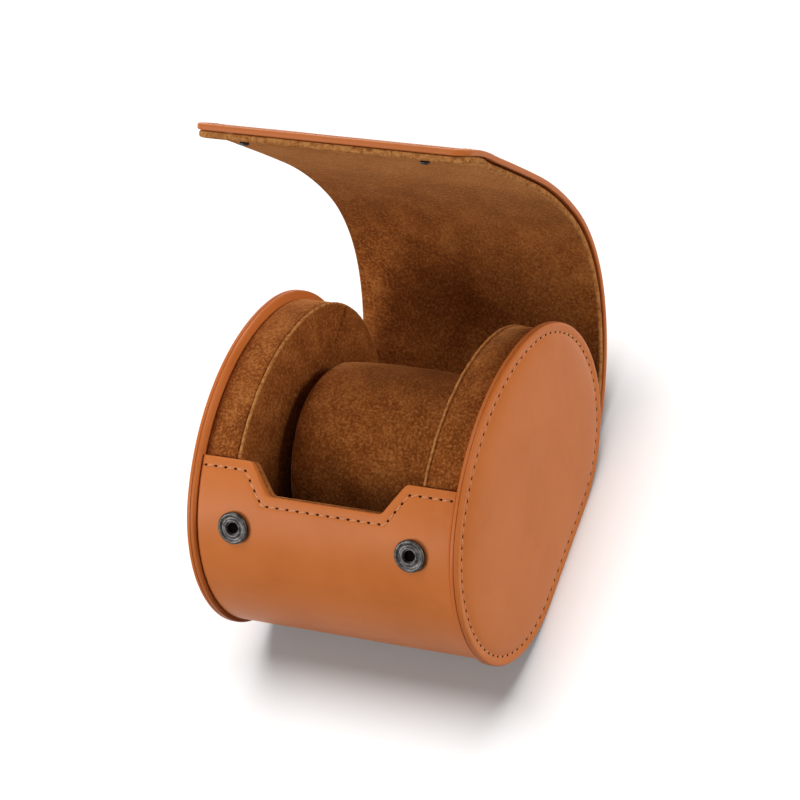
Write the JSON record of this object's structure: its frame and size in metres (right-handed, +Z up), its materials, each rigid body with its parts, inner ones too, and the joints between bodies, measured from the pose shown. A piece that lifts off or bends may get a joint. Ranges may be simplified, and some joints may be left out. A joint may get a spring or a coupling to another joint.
{
  "type": "watch travel case",
  "caption": "Leather-covered rounded travel case with an open wrap-over lid, snap fasteners, padded end panels, suede lining and a lift-out roll cushion.",
  "frame": {"origin": "centre of the case's flat underside, midway between the end panels", "axes": "+X towards the right end panel, +Y towards the hinge at the back, +Z up"},
  "size_m": [0.0908, 0.1314, 0.1451],
  "materials": {
    "leather": "smooth tan leather, satin",
    "suede": "brown suede",
    "board": "pressed fibre board",
    "block_board": "fibre board block",
    "foam": "foam",
    "thread": "tan thread",
    "gunmetal": "dark worn metal"
  },
  "bodies": {
    "base": {"base_leather": "leather", "base_board": "board", "base_lining": "suede", "base_stitching": "thread", "end_leather_left": "leather", "end_padding_left": "foam", "end_board_left": "board", "end_backing_left": "leather", "end_stitching_left": "thread", "block_core_left": "block_board", "block_band_left": "suede", "block_face_left": "suede", "socket_left": "gunmetal", "socket_spring_left": "gunmetal", "socket_rivet_left": "gunmetal", "end_leather_right": "leather", "end_padding_right": "foam", "end_board_right": "board", "end_backing_right": "leather", "end_stitching_right": "thread", "block_core_right": "block_board", "block_band_right": "suede", "block_face_right": "suede", "socket_right": "gunmetal", "socket_spring_right": "gunmetal", "socket_rivet_right": "gunmetal"},
    "lid_heel": {"lid_leather_heel": "leather", "lid_board_heel": "board", "lid_lining_heel": "suede"},
    "lid_back": {"lid_leather_back": "leather", "lid_board_back": "board", "lid_lining_back": "suede"},
    "lid_shoulder": {"lid_leather_shoulder": "leather", "lid_board_shoulder": "board", "lid_lining_shoulder": "suede"},
    "lid_crown": {"lid_leather_crown": "leather", "lid_board_crown": "board", "lid_lining_crown": "suede"},
    "lid_brow": {"lid_leather_brow": "leather", "lid_board_brow": "board", "lid_lining_brow": "suede"},
    "lid_flap": {"lid_leather_flap": "leather", "lid_board_flap": "board", "lid_lining_flap": "suede", "flap_stitching": "thread", "stud_left": "gunmetal", "stud_right": "gunmetal", "snap_cap_left": "gunmetal", "snap_cap_right": "gunmetal"},
    "cushion": {"cushion_cover": "suede", "cushion_core": "foam", "cushion_end_left": "suede", "cushion_end_right": "suede"}
  },
  "joints": [
    {"name": "heel_fold", "type": "hinge", "parent": "base", "child": "lid_heel", "pos_m": [0, 0.02409, 0.00271], "axis": [1, 0, 0], "range_deg": [-3, 12.73]},
    {"name": "back_fold", "type": "hinge", "parent": "lid_heel", "child": "lid_back", "pos_m": [0, 0.04966, 0.00695], "axis": [1, 0, 0], "range_deg": [-4.75, 20.1]},
    {"name": "shoulder_fold", "type": "hinge", "parent": "lid_back", "child": "lid_shoulder", "pos_m": [0, 0.07184, 0.03181], "axis": [1, 0, 0], "range_deg": [-3.2, 13.53]},
    {"name": "crown_fold", "type": "hinge", "parent": "lid_shoulder", "child": "lid_crown", "pos_m": [0, 0.07781, 0.06763], "axis": [1, 0, 0], "range_deg": [-2.58, 10.87]},
    {"name": "brow_fold", "type": "hinge", "parent": "lid_crown", "child": "lid_brow", "pos_m": [0, 0.06848, 0.09845], "axis": [1, 0, 0], "range_deg": [-4.19, 17.72]},
    {"name": "flap_fold", "type": "hinge", "parent": "lid_brow", "child": "lid_flap", "pos_m": [0, 0.05528, 0.12653], "axis": [1, 0, 0], "range_deg": [-5.5, 23.9]},
    {"name": "cushion_lift", "type": "slide", "parent": "base", "child": "cushion", "axis": [0, 0.0872, 0.9962], "range_m": [0, 0.09]}
  ],
  "couplings": [
    {"joint": "back_fold", "follows": "heel_fold", "ratio": 1.5774},
    {"joint": "shoulder_fold", "follows": "heel_fold", "ratio": 1.0613},
    {"joint": "crown_fold", "follows": "heel_fold", "ratio": 0.85232},
    {"joint": "brow_fold", "follows": "heel_fold", "ratio": 1.3904}
  ]
}
